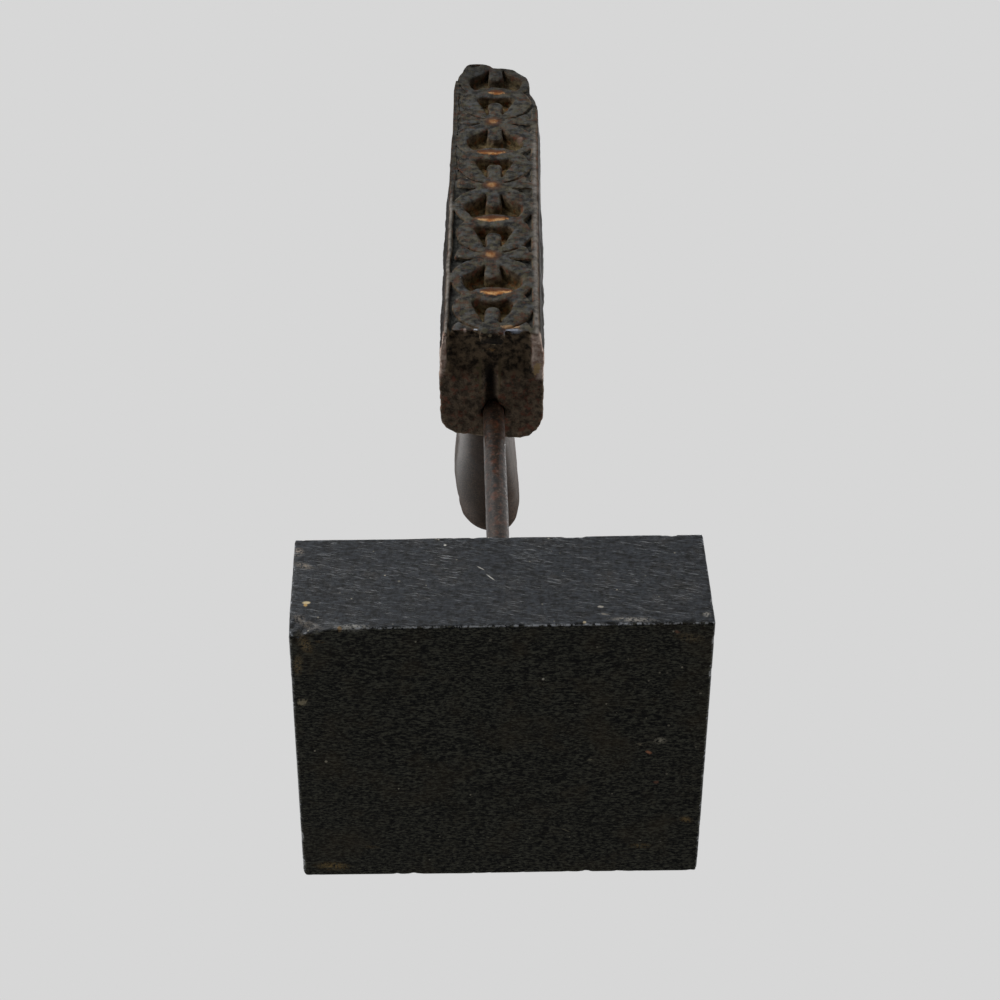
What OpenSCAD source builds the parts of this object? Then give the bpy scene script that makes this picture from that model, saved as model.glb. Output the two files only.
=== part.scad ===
// A hand-carved wooden block for printing a textile border, held upright on an iron rod in a black plinth.
// Millimetres. +Z is up, -Y is the carved printing face. The origin is the middle of the plinth's underside.

/* [Plinth] */
// Width of the plinth, left to right
plinth_w = 127; // [100:1:160]
// Depth of the plinth, front to back
plinth_d = 103; // [80:1:130]
// Height of the plinth
plinth_h = 42.5; // [32:0.5:60]
// Radius of the plinth's eased edges
plinth_edge_r = 0.6; // [0.4:0.1:4]
// Wood left under the rod's socket
socket_floor = 8; // [4:0.5:14]

/* [Rod] */
// Diameter of the iron rod
rod_d = 8; // [6:0.5:10]
// How far the rod stands to the right of the plinth's middle
rod_off_centre = 1.2; // [0:0.1:4]
// Length of rod that shows between the plinth and the block
rod_free_l = 142.5; // [100:0.5:190]
// Length of rod that stands inside the block
rod_in_block = 60; // [40:1:70]
// Chamfer on both ends of the rod
rod_chamfer = 0.8; // [0.3:0.1:1.5]

/* [Block] */
// Width of the block
block_w = 38.5; // [34:0.5:44]
// Thickness of the block, printing face to back
block_t = 46.2; // [40:0.1:54]
// Radius of the left long edge at the back
block_left_r = 7.5; // [4:0.5:13]
// Radius of the right long edge at the back
block_right_r = 11; // [4:0.5:13]
// From the rod's axis to the back of the block
rod_to_back = 10.5; // [8:0.5:14]
// How far the middle of the lower end lies to the left of the rod
block_off_centre = 0.7; // [0:0.1:2]
// Lean of the block to the right, in degrees, because its hole was drilled by hand
block_lean = 1.6; // [0:0.1:3]

/* [Carving] */
// Distance from hub to hub along the border
motif_pitch = 54; // [50:0.5:60]
// Number of whole motifs along the block
motif_count = 4; // [4:1:6]
// Depth of the carved ground below the printing face
carve_depth = 8; // [5:0.5:12]
// Width of the rail along the left edge
rail_left_w = 2.2; // [1.5:0.1:4]
// Width of the rail along the right edge
rail_right_w = 3.4; // [1.5:0.1:4.5]
// How far a rail stands in from the side of the block
rail_inset = 0.6; // [0:0.1:2]
// Length of the left rail that has worn away at the top
rail_left_lost = 18; // [5:1:40]
// Length of the right rail that has broken away at the top
rail_right_lost = 41; // [5:1:60]
// Outer diameter of the ring above each hub
upper_ring_d = 29; // [27:0.5:30]
// From a hub's middle to the far side of the ring above it
upper_ring_reach = 32; // [30:0.5:33]
// Width of the opening in that ring, which narrows to a point at the hub
upper_opening_w = 19; // [15:0.5:22]
// Where that opening starts, from the hub's middle
upper_opening_from = 8; // [6:0.5:10]
// Outer diameter of the ring below each hub
lower_ring_d = 31.2; // [30.8:0.2:34]
// From a hub's middle to the far side of the ring below it
lower_ring_reach = 31.5; // [29:0.5:33]
// Diameter of the round opening in that ring
lower_opening_d = 23; // [18:0.5:25]
// From a hub's middle to the middle of that opening
lower_opening_at = 17; // [15:0.5:18]
// Diameter of a hub, where two rings cross
hub_d = 9; // [6:0.5:12]
// Reach of the blunt tongue in the opening above a hub, from the hub's middle
tongue_up_l = 18; // [14:0.5:20]
// Reach of the blunt tongue in the opening below a hub
tongue_down_l = 15.5; // [13:0.5:20]
// Width of a tongue near its round end
tongue_w = 6; // [4:0.2:7]
// Width of a tongue where it leaves the hub
tongue_neck_w = 3.6; // [3:0.2:5]
// Reach of the fan-shaped petal on each side of a hub
petal_l = 14.5; // [12:0.5:15]
// How far a petal's lower edge slopes down from the hub, in degrees
petal_slope = 6; // [0:1:12]
// Width of the slit that parts a petal from the ring above it
slit_w = 1.3; // [0.8:0.1:2]

/* [Ends] */
// Height of the hollow in the lower end, from the printing face
hollow_h = 20; // [14:0.5:26]
// Width of the hollow
hollow_w = 31; // [26:0.2:32]
// How far the hollow lies to the left of the block's middle
hollow_off_centre = 1.1; // [0:0.1:2]
// How far the hollow cuts back at the printing face
hollow_set = 1.2; // [0.6:0.1:3]
// Depth of the hollow behind its two rims
hollow_deep = 2.6; // [1:0.1:5]
// Radius of the hollow's corners
hollow_corner_r = 5; // [2:0.5:8]
// Width of the half hub's foot, which stands in the hollow
foot_w = 8; // [5:0.5:12]
// Height of that foot, from the printing face
foot_h = 10; // [6:0.5:13]
// Width of the groove that runs from that foot down the lower end to the rod
groove_d = 5.5; // [3:0.1:7]
// Depth of that groove
groove_deep = 2.2; // [1:0.1:3]
// Width of the sliver that has split off the top right edge
split_w = 4.8; // [1:0.1:6]
// Length of that sliver
split_l = 42; // [30:1:60]
// Length over which the split runs out to the side of the block
split_taper = 16; // [8:1:20]
// Radius of the worn lobe at the left of the top end
lobe_left_r = 8.6; // [6:0.2:9.5]
// How far that lobe stands in from the left side of the block
lobe_inset = 3; // [1:0.2:5]
// Radius of the worn lobe at the right of the top end
lobe_right_r = 13; // [10:0.2:14]
// How much more the right lobe is worn down
lobe_drop = 4; // [2:0.5:8]
// How deep the split and the worn lobes go, from the printing face
worn_deep = 24; // [14:1:30]

/* [Handle] */
// Width of the grip at its rounded outer edge
grip_w = 25; // [20:0.5:30]
// Width of the grip's neck, next to the block
grip_neck_w = 20.5; // [16:0.5:24]
// How far the grip stands out from the back of the block
grip_h = 65; // [45:1:75]
// From each end of the block to the grip's foot
grip_end_gap = 10; // [6:0.5:30]
// Rake of the grip's two ends, in degrees
grip_rake = 8; // [0:1:20]
// Radius of the grip's outer corners, seen from the side
grip_corner_r = 12; // [8:0.5:20]
// How far the grip's foot lies to the left of the block's middle
grip_off_centre = 3.8; // [0:0.1:4]
// Lean of the grip to the right, from its foot outwards, in degrees
grip_lean = 2.8; // [0:0.1:4]
// Length of the tenon that is let into the block
tenon_l = 60; // [40:1:70]
// Width of the tenon
tenon_w = 12; // [8:0.5:16]
// Depth of the tenon
tenon_h = 20; // [17:0.5:24]
// Diameter of the two pegs through the tenon
peg_d = 6; // [4:0.5:8]
// Distance between the two pegs
peg_spacing = 32; // [20:1:32]
// From the back of the block to the pegs
peg_depth = 11.5; // [8:0.5:12]

/* [Fits] */
// Gap all round between the rod and its socket in the plinth
socket_gap = 0.05; // [0.02:0.01:0.1]
// Gap all round between the rod and its hole in the block
bore_gap = 0.3; // [0.2:0.05:0.6]
// Gap all round between a peg and its hole
peg_gap = 0.05; // [0.02:0.01:0.1]
// Gap all round between the tenon and its mortise
tenon_gap = 0.1; // [0.05:0.05:0.3]

/* [Hidden] */
$fn = 64;

// Small overlap that lets cuts run past a face and joined forms share volume
lap = 1;
// Height of the block's lower end above the table
block_z = plinth_h + rod_free_l;
// Length of the block, a whole number of motifs
block_l = motif_pitch * motif_count;
// From the rod's axis to the printing face
face_y = block_t - rod_to_back;
// Middle of the ring above a hub
upper_ring_z = upper_ring_reach - upper_ring_d / 2;
// Half width to the outer faces of the rails
rail_out_x = block_w / 2 - rail_inset;
// How far the side outline stands off the round noses, so that arc and nose cross at a slight edge
grip_ease = 0.4;
// Radius of the grip's two noses, a little more than half the grip
nose_r = grip_w / 2 + grip_ease;
// The grip's foot, from the middle of the block
foot_z = block_l / 2 - grip_end_gap + grip_ease;
// Raked end line of the grip, from its foot to where the outer corner's arc starts
rake_l = (grip_h - grip_corner_r * (1 - sin(grip_rake))) / cos(grip_rake);
// Places of the two pegs along the block
peg_z = [block_l / 2 - peg_spacing / 2, block_l / 2 + peg_spacing / 2];

// Placing

// From the block's own frame, with its lower end at zero, to its place on the rod
module on_rod() {
    translate([rod_off_centre - block_off_centre, 0, block_z])
        rotate([0, block_lean, 0])
            children();
}

// Extrudes an outline drawn across (x) and along (y) the block, from the printing face back by depth
module from_face(depth, proud = 0) {
    translate([0, depth - face_y, 0])
        rotate([90, 0, 0])
            linear_extrude(depth + proud)
                children();
}

// Extrudes an outline drawn in depth (x) and height (y) across a width
module across(width) {
    rotate([90, 0, 90])
        translate([0, 0, -width / 2])
            linear_extrude(width)
                children();
}

// Outlines

// A rectangle with round corners, on its middle
module round_rect(w, h, r) {
    square([w - 2 * r, h], center = true);
    square([w, h - 2 * r], center = true);
    for (x = [-1, 1], y = [-1, 1])
        translate([x * (w / 2 - r), y * (h / 2 - r)])
            circle(r);
}

// A tongue that widens from its neck to a round end, pointing along +Y
module tongue_outline(length, width, neck) {
    shoulder = length - width / 2;
    polygon([[-neck / 2, 0], [neck / 2, 0], [width / 2, shoulder], [-width / 2, shoulder]]);
    translate([0, shoulder])
        circle(d = width);
}

// The ring above a hub, with an opening that widens from the hub at 45 degrees
module upper_ring() {
    difference() {
        translate([0, upper_ring_z])
            circle(d = upper_ring_d);
        translate([0, upper_opening_from])
            tongue_outline(upper_opening_w - tongue_neck_w / 2, upper_opening_w, tongue_neck_w);
    }
}

// The ring below a hub, with a round opening
module lower_ring() {
    difference() {
        translate([0, lower_ring_d / 2 - lower_ring_reach])
            circle(d = lower_ring_d);
        translate([0, -lower_opening_at])
            circle(d = lower_opening_d);
    }
}

// The petal on the right of a hub: a fan that a slit parts from the ring above it
module side_petal() {
    fan = 2 * petal_l;
    difference() {
        intersection() {
            circle(petal_l);
            polygon([[0, 0], [fan, -fan * tan(petal_slope)], [fan, fan]]);
        }
        translate([0, upper_ring_z])
            circle(d = upper_ring_d + 2 * slit_w);
    }
}

// The hub, its two tongues along the border and its two side petals
module hub_outline() {
    circle(d = hub_d);
    tongue_outline(tongue_up_l, tongue_w, tongue_neck_w);
    rotate(180)
        tongue_outline(tongue_down_l, tongue_w, tongue_neck_w);
    side_petal();
    mirror([1, 0])
        side_petal();
}

// The chain of rings and hubs, cut off square at the ends of the block
module chain_outline() {
    intersection() {
        for (i = [0 : motif_count])
            translate([0, i * motif_pitch]) {
                upper_ring();
                lower_ring();
                hub_outline();
            }
        translate([-rail_out_x, 0])
            square([2 * rail_out_x, block_l]);
    }
}

module rails_outline() {
    translate([-rail_out_x, 0])
        square([rail_left_w, block_l - rail_left_lost]);
    translate([rail_out_x - rail_right_w, 0])
        square([rail_right_w, block_l - rail_right_lost]);
}

// What is gone from the top end: a long sliver on the right and all that lies outside two worn lobes
module lost_outline() {
    side = block_w / 2;
    shoulder_z = block_l - lobe_drop - lobe_right_r;
    left_lobe_z = block_l + lap - lobe_left_r;
    polygon([
        [side + lap, block_l - split_l], [side, block_l - split_l],
        [side - split_w, block_l - split_l + split_taper], [side - split_w, block_l], [side + lap, block_l]
    ]);
    difference() {
        translate([-side - lap, shoulder_z])
            square([block_w + 2 * lap, block_l + lap - shoulder_z]);
        translate([-side + lobe_inset, shoulder_z - lap])
            square([2 * lobe_left_r, left_lobe_z - shoulder_z + lap]);
        translate([-side + lobe_inset + lobe_left_r, left_lobe_z])
            circle(lobe_left_r);
        translate([side - split_w - lobe_right_r, shoulder_z])
            circle(lobe_right_r);
    }
}

// Section across the block behind the carving, with its two long back edges rounded
module block_section() {
    front = face_y - carve_depth;
    translate([-block_w / 2, -front])
        square([block_w, front + rod_to_back - max(block_left_r, block_right_r)]);
    translate([-block_w / 2 + block_left_r, -front])
        square([block_w - block_left_r - block_right_r, front + rod_to_back]);
    for (edge = [[-1, block_left_r], [1, block_right_r]])
        back_edge(edge[0], edge[1], front);
}

// One long side of that section with its back edge rounded: side is -1 or 1
module back_edge(side, r, front) {
    middle = side * (block_w / 2 - r);
    translate([min(middle, side * block_w / 2), -front])
        square([r, front + rod_to_back - r]);
    translate([middle, rod_to_back - r])
        circle(r);
}

// Cuts and holes

// The round hollow in the lower end, between two strips of the old end face and round the half hub's foot
module end_hollow() {
    chord = norm([hollow_h, hollow_set]);
    tilt = atan2(hollow_set, hollow_h);
    hollow_r = chord * chord / (8 * hollow_deep) + hollow_deep / 2;
    sink = hollow_r - hollow_deep;
    difference() {
        intersection() {
            across(block_w)
                translate([hollow_h / 2 - face_y - sink * sin(tilt), hollow_set / 2 - sink * cos(tilt)])
                    circle(hollow_r);
            translate([-hollow_off_centre, hollow_h / 2 - face_y, -lap])
                linear_extrude(hollow_set + hollow_deep + 2 * lap)
                    round_rect(hollow_w, hollow_h + 2 * lap, hollow_corner_r);
        }
        translate([-foot_w / 2, -face_y - lap, -2 * lap])
            cube([foot_w, foot_h + lap, hollow_set + hollow_deep + 4 * lap]);
    }
}

// The groove down the middle of the lower end, from the half hub's foot to the rod
module end_groove() {
    translate([0, foot_h - face_y, groove_deep - groove_d / 2])
        rotate([-90, 0, 0])
            cylinder(d = groove_d, h = face_y - foot_h);
}

// The hole for the rod, upright while the block leans
module rod_bore() {
    translate([rod_off_centre, 0, block_z - block_w / 2])
        cylinder(d = rod_d + 2 * bore_gap, h = rod_in_block + block_w / 2);
}

// A peg or its hole, straight across the block
module peg_line(d, length) {
    for (z = peg_z)
        translate([-length / 2, rod_to_back - peg_depth, z])
            rotate([0, 90, 0])
                cylinder(d = d, h = length);
}

// The tenon, or its mortise with a gap all round
module tenon(gap) {
    translate([-tenon_w / 2 - gap, rod_to_back - tenon_h - gap, (block_l - tenon_l) / 2 - gap])
        cube([tenon_w + 2 * gap, tenon_h + gap + lap, tenon_l + 2 * gap]);
}

// Pieces

// Black-stained plinth with a socket for the rod
module plinth() {
    color("#1e2022")
        difference() {
            intersection() {
                linear_extrude(plinth_h)
                    round_rect(plinth_w, plinth_d, plinth_edge_r);
                translate([0, 0, plinth_h / 2])
                    across(plinth_w)
                        round_rect(plinth_d, plinth_h, plinth_edge_r);
                translate([0, plinth_d / 2, plinth_h / 2])
                    rotate([90, 0, 0])
                        linear_extrude(plinth_d)
                            round_rect(plinth_w, plinth_h, plinth_edge_r);
            }
            translate([rod_off_centre, 0, socket_floor])
                cylinder(d = rod_d + 2 * socket_gap, h = plinth_h);
        }
}

// Rusted iron rod, plain round bar with its two ends chamfered
module mount_rod() {
    top = block_z + rod_in_block;
    tip_d = rod_d - 2 * rod_chamfer;
    color("#6b4a35")
        translate([rod_off_centre, 0, 0]) {
            translate([0, 0, socket_floor])
                cylinder(d1 = tip_d, d2 = rod_d, h = rod_chamfer);
            translate([0, 0, socket_floor + rod_chamfer])
                cylinder(d = rod_d, h = top - socket_floor - 2 * rod_chamfer);
            translate([0, 0, top - rod_chamfer])
                cylinder(d1 = rod_d, d2 = tip_d, h = rod_chamfer);
        }
}

// The carved block, one piece of dyed hardwood
module block_body() {
    color("#3d332b")
        difference() {
            on_rod()
                difference() {
                    union() {
                        linear_extrude(block_l)
                            block_section();
                        from_face(carve_depth + lap)
                            chain_outline();
                        from_face(carve_depth + lap)
                            rails_outline();
                    }
                    from_face(worn_deep, lap)
                        lost_outline();
                    end_hollow();
                    end_groove();
                    tenon(tenon_gap);
                    peg_line(peg_d + 2 * peg_gap, block_w + 2 * lap);
                }
            rod_bore();
        }
}

// The long grip along the back, rounded by hand, with its tenon
module handle() {
    color("#4b3526")
        on_rod()
            difference() {
                union() {
                    difference() {
                        translate([-grip_off_centre, rod_to_back, 0])
                            rotate([0, 0, -grip_lean])
                                grip();
                        translate([-block_w, rod_to_back - block_t, -lap])
                            cube([2 * block_w, block_t, block_l + 2 * lap]);
                    }
                    tenon(0);
                }
                peg_line(peg_d + 2 * peg_gap, block_w + 2 * lap);
            }
}

// The grip from its foot outwards, with a little spare wood below the foot that the block's back cuts off
module grip() {
    intersection() {
        linear_extrude(block_l)
            grip_section();
        translate([0, 0, block_l / 2])
            across(2 * grip_w)
                grip_side_outline();
        intersection_for (end = [-1, 1])
            translate([0, 0, block_l / 2])
                grip_nose(end);
    }
}

// The grip cut across: a neck that swells to a round edge for the palm
module grip_section() {
    translate([-grip_neck_w / 2, -lap])
        square([grip_neck_w, grip_h - grip_w / 2 + lap]);
    translate([0, grip_h - grip_w / 2])
        circle(d = grip_w);
}

// The grip seen from the side, from its foot on the block's back: raked ends, outer corners rounded
module grip_side_outline() {
    arc_start = [rake_l * cos(grip_rake), foot_z - rake_l * sin(grip_rake)];
    arc_middle = [grip_h - grip_corner_r, foot_z - rake_l * sin(grip_rake) - grip_corner_r * cos(grip_rake)];
    polygon([
        [-lap, -foot_z], [-lap, foot_z], [0, foot_z], arc_start, arc_middle, [grip_h, arc_middle.y],
        [grip_h, -arc_middle.y], [arc_middle.x, -arc_middle.y], [arc_start.x, -arc_start.y], [0, -foot_z]
    ]);
    for (side = [-1, 1])
        translate([arc_middle.x, side * arc_middle.y])
            circle(grip_corner_r);
}

// One round nose of the grip, leaning in with the rake and running on past the other end
module grip_nose(end) {
    nose_z = foot_z - grip_ease - nose_r / cos(grip_rake);
    translate([0, 0, end * nose_z])
        rotate([-90 - end * grip_rake, 0, 0])
            translate([0, 0, -block_l])
                linear_extrude(2 * block_l) {
                    circle(nose_r);
                    translate([-nose_r, end > 0 ? 0 : -block_l])
                        square([2 * nose_r, block_l]);
                }
}

// Two wooden pegs through the block and the tenon
module handle_pegs() {
    color("#6e4d32")
        on_rod()
            peg_line(peg_d, block_w);
}

plinth();
mount_rod();
block_body();
handle();
handle_pegs();
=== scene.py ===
# %% [markdown]
# # A hand-carved block for printing a textile border
# The object is a bar of dark hardwood with a carved border on one face and a long grip on its back.
# It stands on an iron rod, in a black plinth. The construction is already made and packed, and this
# lesson dresses it. Each piece starts from the exact solid, is made to look cut and worn by hand, and
# gets a finish. The frame comes first, because every later place is read from it.

# %% Load the frame
import math

import bmesh
import bpy
import numpy as np
from mathutils import Matrix, Vector


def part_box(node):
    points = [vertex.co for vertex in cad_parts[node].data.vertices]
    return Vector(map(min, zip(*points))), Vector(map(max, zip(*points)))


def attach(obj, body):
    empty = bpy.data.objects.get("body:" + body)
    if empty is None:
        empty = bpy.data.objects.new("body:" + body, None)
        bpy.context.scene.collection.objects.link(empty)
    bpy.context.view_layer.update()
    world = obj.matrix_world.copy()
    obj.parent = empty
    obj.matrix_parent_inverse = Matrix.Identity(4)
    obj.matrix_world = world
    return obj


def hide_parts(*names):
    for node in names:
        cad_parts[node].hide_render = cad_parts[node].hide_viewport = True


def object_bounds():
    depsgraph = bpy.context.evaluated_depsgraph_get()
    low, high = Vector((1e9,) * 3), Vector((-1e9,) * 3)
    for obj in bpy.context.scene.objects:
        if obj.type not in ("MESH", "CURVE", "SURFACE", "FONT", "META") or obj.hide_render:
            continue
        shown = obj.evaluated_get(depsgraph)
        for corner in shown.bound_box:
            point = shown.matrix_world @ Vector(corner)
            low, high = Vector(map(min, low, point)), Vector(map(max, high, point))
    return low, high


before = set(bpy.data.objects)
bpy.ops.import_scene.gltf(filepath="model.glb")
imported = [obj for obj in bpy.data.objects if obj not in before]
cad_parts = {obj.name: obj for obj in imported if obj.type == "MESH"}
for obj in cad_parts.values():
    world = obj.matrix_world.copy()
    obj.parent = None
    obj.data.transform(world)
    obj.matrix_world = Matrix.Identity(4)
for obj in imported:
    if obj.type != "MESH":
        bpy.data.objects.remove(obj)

MM = 0.001
cad_low, cad_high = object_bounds()
print("solids reach from", tuple(cad_low), "to", tuple(cad_high))

# %% [markdown]
# ## The camera
# The photograph was taken from low in front, looking up at the underside of the plinth. The place, the
# direction and the lens below were fitted to the plinth's corners, the rod and the spacing of the
# carving. A camera looks along its own -Z, so the three directions become the columns of its matrix.

# %% Camera
camera_place = Vector((-0.01517, -0.49910, -0.53260))
view_direction = Vector((0.0212, 0.6009, 0.79904)).normalized()
picture_up = Vector((0.0088, -0.7993, 0.60087))
camera_right = view_direction.cross(picture_up).normalized()
camera_up = camera_right.cross(view_direction)

camera_data = bpy.data.cameras.new("photo_camera")
camera_data.sensor_width = 36
camera_data.lens = 84.43
camera_data.clip_start = 0.01
camera = bpy.data.objects.new("photo_camera", camera_data)
camera.matrix_world = Matrix.Translation(camera_place) @ Matrix(
    (camera_right, camera_up, -view_direction)).transposed().to_4x4()
bpy.context.scene.collection.objects.link(camera)
bpy.context.scene.camera = camera
bpy.context.scene.view_settings.view_transform = "Standard"
print("camera at", tuple(camera_place))

# %% [markdown]
# ## Two small helpers for nodes
# Colours are written as the hex values that a paint program shows, and shaders want linear light, so one
# function turns one into the other. A second one adds a node, sets it, links it and gives back one of
# its outputs. With these two, every material and every node tree in this lesson reads as a short list of
# what goes into what.

# %% Helpers for colours and nodes
# The kinds of node that are used most
MATH = "ShaderNodeMath"
VECTOR_MATH = "ShaderNodeVectorMath"
MIX = "ShaderNodeMix"
RAMP = "ShaderNodeMapRange"
NOISE = "ShaderNodeTexNoise"
MAPPING = "ShaderNodeMapping"
AXES = "ShaderNodeSeparateXYZ"
# A Mix node has sockets for numbers, vectors and colours, and its third output is the colour
NUMBER_A = 2
NUMBER_B = 3
UNDER = 6
OVER = 7
COLOURS = {"out": 2, "data_type": "RGBA"}


def linear(hex_text):
    """A hex colour as the screen shows it, turned to linear light with full alpha."""
    shares = [int(hex_text[i:i + 2], 16) / 255 for i in (1, 3, 5)]
    return [s / 12.92 if s <= 0.04045 else ((s + 0.055) / 1.055) ** 2.4 for s in shares] + [1]


def add_node(tree, kind, inputs=None, out=0, **settings):
    """Adds a node and returns one output; inputs maps a socket to a value, a hex colour or a link."""
    node = tree.nodes.new(kind)
    for name, value in settings.items():
        setattr(node, name, value)
    for key, value in (inputs or {}).items():
        if isinstance(value, bpy.types.NodeSocket):
            tree.links.new(value, node.inputs[key])
        elif isinstance(value, str) and value.startswith("#"):
            node.inputs[key].default_value = linear(value)
        else:
            node.inputs[key].default_value = value
    return node.outputs[out] if node.outputs else node


def new_material(name):
    """An empty material, its tree and its main shader."""
    material = bpy.data.materials.new(name)
    material.use_nodes = True
    return material, material.node_tree, material.node_tree.nodes["Principled BSDF"]


def per_mm(size):
    """The texture scale at which one feature of a pattern is this many millimetres."""
    return 1 / (size * MM)


print("white is", linear("#FFFFFF"))

# %% [markdown]
# ## The floor, the studio and the lamps
# The camera stands below the floor, so the floor lets itself be seen from above only. It takes the
# object's shadow, but hides nothing from the lamps and throws no light back, so that the underside of
# the plinth keeps the little light that it has in the photograph. The studio is the same pale grey
# all round to the camera. What bounces off the object sees it fade to dark below.

# %% Floor
FLOOR_SIZE = 1.0
FLOOR_DROP = 0.6 * MM
PALE_GREY = "#D7D7D7"

floor_material, tree, shader = new_material("matt_studio_floor")
shader.inputs["Base Color"].default_value = linear(PALE_GREY)
shader.inputs["Roughness"].default_value = 0.9
from_below = add_node(tree, "ShaderNodeNewGeometry", out="Backfacing")
unseen = add_node(tree, "ShaderNodeBsdfTransparent")
one_sided = add_node(tree, "ShaderNodeMixShader", {0: from_below, 1: shader.outputs[0], 2: unseen})
tree.links.new(one_sided, tree.nodes["Material Output"].inputs["Surface"])

floor_mesh = bpy.data.meshes.new("floor")
half = FLOOR_SIZE / 2
corners = [(-half, -half), (half, -half), (half, half), (-half, half)]
floor_mesh.from_pydata([(x, y, -FLOOR_DROP) for x, y in corners], [], [(0, 1, 2, 3)])
floor_mesh.materials.append(floor_material)
floor = bpy.data.objects.new("floor", floor_mesh)
bpy.context.scene.collection.objects.link(floor)
floor.visible_diffuse = False
floor.visible_glossy = False
floor.visible_transmission = False
floor.visible_shadow = False
print("floor", FLOOR_SIZE, "m across")

# %% Studio
world = bpy.data.worlds.new("pale_studio")
world.use_nodes = True
tree = world.node_tree
tree.nodes.clear()
direction = add_node(tree, "ShaderNodeTexCoord", out="Generated")
upwards = add_node(tree, AXES, {"Vector": direction}, out="Z")
fade = add_node(tree, RAMP, {
    "Value": upwards, "From Min": -0.75, "From Max": 0.1, "To Min": 0.10, "To Max": 0.55},
    interpolation_type="SMOOTHSTEP")
to_camera = add_node(tree, "ShaderNodeLightPath", out="Is Camera Ray")
strength = add_node(tree, MIX, {"Factor": to_camera, NUMBER_A: fade, NUMBER_B: 1.0})
studio = add_node(tree, "ShaderNodeBackground", {"Color": PALE_GREY, "Strength": strength})
add_node(tree, "ShaderNodeOutputWorld", {"Surface": studio})
bpy.context.scene.world = world
print("studio grey", PALE_GREY)

# %% Lamps
# Each softbox: place, what it faces, width, height and power in watts
softboxes = {
    "softbox_front": ((-0.75, -0.85, 0.55), (0, 0, 0.25), 0.7, 0.7, 7),
    "softbox_left": ((-0.85, 0.75, 0.15), (0, 0.03, 0.22), 0.45, 0.9, 5),
    "softbox_right": ((0.90, 0.25, 0.30), (0, 0, 0.25), 0.35, 0.9, 5),
    "softbox_top": ((0.10, 0.30, 1.20), (0, 0, 0.30), 0.6, 0.6, 5),
}
for name, (place, target, width, height, watts) in softboxes.items():
    lamp = bpy.data.lights.new(name, "AREA")
    lamp.shape = "RECTANGLE"
    lamp.size = width
    lamp.size_y = height
    lamp.energy = watts
    softbox = bpy.data.objects.new(name, lamp)
    softbox.location = place
    softbox.rotation_euler = (Vector(target) - Vector(place)).to_track_quat("-Z", "Y").to_euler()
    bpy.context.scene.collection.objects.link(softbox)
print(len(softboxes), "softboxes")

# %% [markdown]
# ## Making exact solids look worked by hand
# The solids have dead straight arrises and dead round holes. Wood that was sawn, carved and handled has
# neither. A sculptor would rub the edges and let the surface wander, and a node tree can do the same to
# every piece: it rounds the arrises by averaging each point with its neighbours, lets the whole surface
# wander a little, wears ridges round, notes where an arris is still sharp, knocks chips out of it, and
# cuts shallow tool marks.
# The tree needs an even mesh to work on, so a voxel remesh comes first.

# %% The hand-worked tree: inputs, rounding and wander
tree = hand_worked = bpy.data.node_groups.new("hand_worked", "GeometryNodeTree")
hand_worked.is_modifier = True
hand_worked.interface.new_socket("Geometry", in_out="OUTPUT", socket_type="NodeSocketGeometry")
hand_worked.interface.new_socket("Geometry", in_out="INPUT", socket_type="NodeSocketGeometry")
worked_inputs = {}
for name, kind in (
        ("Rounding passes", "Int"), ("Wander", "Float"), ("Wander size", "Float"), ("Wear", "Float"),
        ("Wear passes", "Int"), ("Tool marks", "Float"), ("Tool mark size", "Vector"), ("Chips", "Float"),
        ("Chip size", "Float"), ("Seed", "Float"), ("Material", "Material")):
    socket = hand_worked.interface.new_socket(name, in_out="INPUT", socket_type="NodeSocket" + kind)
    worked_inputs[name] = socket.identifier

given = add_node(tree, "NodeGroupInput").node.outputs
place = add_node(tree, "GeometryNodeInputPosition")
normal = add_node(tree, "GeometryNodeInputNormal", out="Normal")
rounded = add_node(tree, "GeometryNodeBlurAttribute", {
    "Value": place, "Iterations": given["Rounding passes"]}, data_type="FLOAT_VECTOR")
step = add_node(tree, "GeometryNodeSetPosition", {"Geometry": given["Geometry"], "Position": rounded})

# The whole surface wanders
finer = add_node(tree, MATH, {0: 1.0, 1: given["Wander size"]}, operation="DIVIDE")
drift = add_node(tree, NOISE, {
    "Vector": place, "W": given["Seed"], "Scale": finer, "Detail": 1.0}, out="Color", noise_dimensions="4D")
centred = add_node(tree, VECTOR_MATH, {0: drift, 1: (0.5, 0.5, 0.5)}, operation="SUBTRACT")
wander = add_node(tree, VECTOR_MATH, {0: centred, "Scale": given["Wander"]}, operation="SCALE")
step = add_node(tree, "GeometryNodeSetPosition", {"Geometry": step, "Offset": wander})
print(len(worked_inputs), "named inputs")


# %% The hand-worked tree: wear and arrises
def stands_proud(passes):
    """How far each point stands out from its surroundings, averaged this many times."""
    around = add_node(tree, "GeometryNodeBlurAttribute", {
        "Value": place, "Iterations": passes}, data_type="FLOAT_VECTOR")
    apart = add_node(tree, VECTOR_MATH, {0: place, 1: around}, operation="SUBTRACT")
    return add_node(tree, VECTOR_MATH, {0: apart, 1: normal}, out="Value", operation="DOT_PRODUCT")


# A ridge wears round: the further a point stands out from its wider surroundings, the more it loses
ridge = add_node(tree, MATH, {0: stands_proud(given["Wear passes"]), 1: 0.0}, operation="MAXIMUM")
loss = add_node(tree, MATH, {0: ridge, 1: given["Wear"]}, operation="MULTIPLY")
rubbed_off = add_node(tree, VECTOR_MATH, {0: normal, "Scale": loss}, operation="SCALE")
inwards = add_node(tree, VECTOR_MATH, {0: rubbed_off, "Scale": -1.0}, operation="SCALE")
step = add_node(tree, "GeometryNodeSetPosition", {"Geometry": step, "Offset": inwards})

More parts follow.
